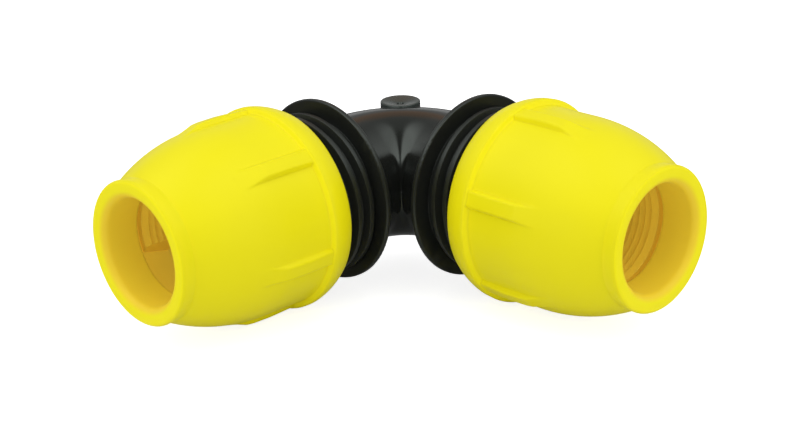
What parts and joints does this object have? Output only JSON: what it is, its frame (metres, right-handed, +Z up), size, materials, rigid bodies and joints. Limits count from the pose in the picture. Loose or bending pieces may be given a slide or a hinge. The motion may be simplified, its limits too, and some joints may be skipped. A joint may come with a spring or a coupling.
{
  "type": "polyethylene pipe elbow",
  "caption": "Right-angle compression elbow for plastic pipe: a black moulded bend with a ribbed yellow screw nut on each threaded arm.",
  "frame": {"origin": "middle of the part's box in X and Y, on the flat surface that the two nuts' rims lie on", "axes": "+Z up, square to the plane of the two arms; the right arm opens towards +X and the left arm towards -Y"},
  "size_m": [0.143, 0.144, 0.0661],
  "materials": {
    "nut_yellow": "moulded, satin gloss",
    "body_black": "moulded, glossy",
    "grip_ring": "natural moulded",
    "bush_black": "moulded, dull",
    "seal_rubber": "dull rubber",
    "liner_steel": "rolled, bright"
  },
  "bodies": {
    "elbow": {"elbow_body": "body_black", "left_seal": "seal_rubber", "left_bush": "bush_black", "left_liner": "liner_steel", "right_seal": "seal_rubber", "right_bush": "bush_black", "right_liner": "liner_steel"},
    "left_grip": {"left_grip_ring": "grip_ring"},
    "left_nut": {"left_nut": "nut_yellow"},
    "right_grip": {"right_grip_ring": "grip_ring"},
    "right_nut": {"right_nut": "nut_yellow"}
  },
  "joints": [
    {"name": "left_nut_travel", "type": "slide", "parent": "elbow", "child": "left_grip", "axis": [0, -1, 0], "range_m": [-0.01487, 0.01112]},
    {"name": "left_nut_turn", "type": "hinge", "parent": "left_grip", "child": "left_nut", "pos_m": [-0.03848, -0.02106, 0.03306], "axis": [0, -1, 0], "range_deg": [-1070, 800]},
    {"name": "right_nut_travel", "type": "slide", "parent": "elbow", "child": "right_grip", "axis": [1, 0, 0], "range_m": [-0.01395, 0.01112]},
    {"name": "right_nut_turn", "type": "hinge", "parent": "right_grip", "child": "right_nut", "pos_m": [0.02152, 0.03895, 0.03306], "axis": [1, 0, 0], "range_deg": [-1004, 800]}
  ],
  "couplings": [
    {"joint": "left_nut_travel", "follows": "left_nut_turn", "m_per_rad": 0.00079577},
    {"joint": "right_nut_travel", "follows": "right_nut_turn", "m_per_rad": 0.00079577}
  ]
}
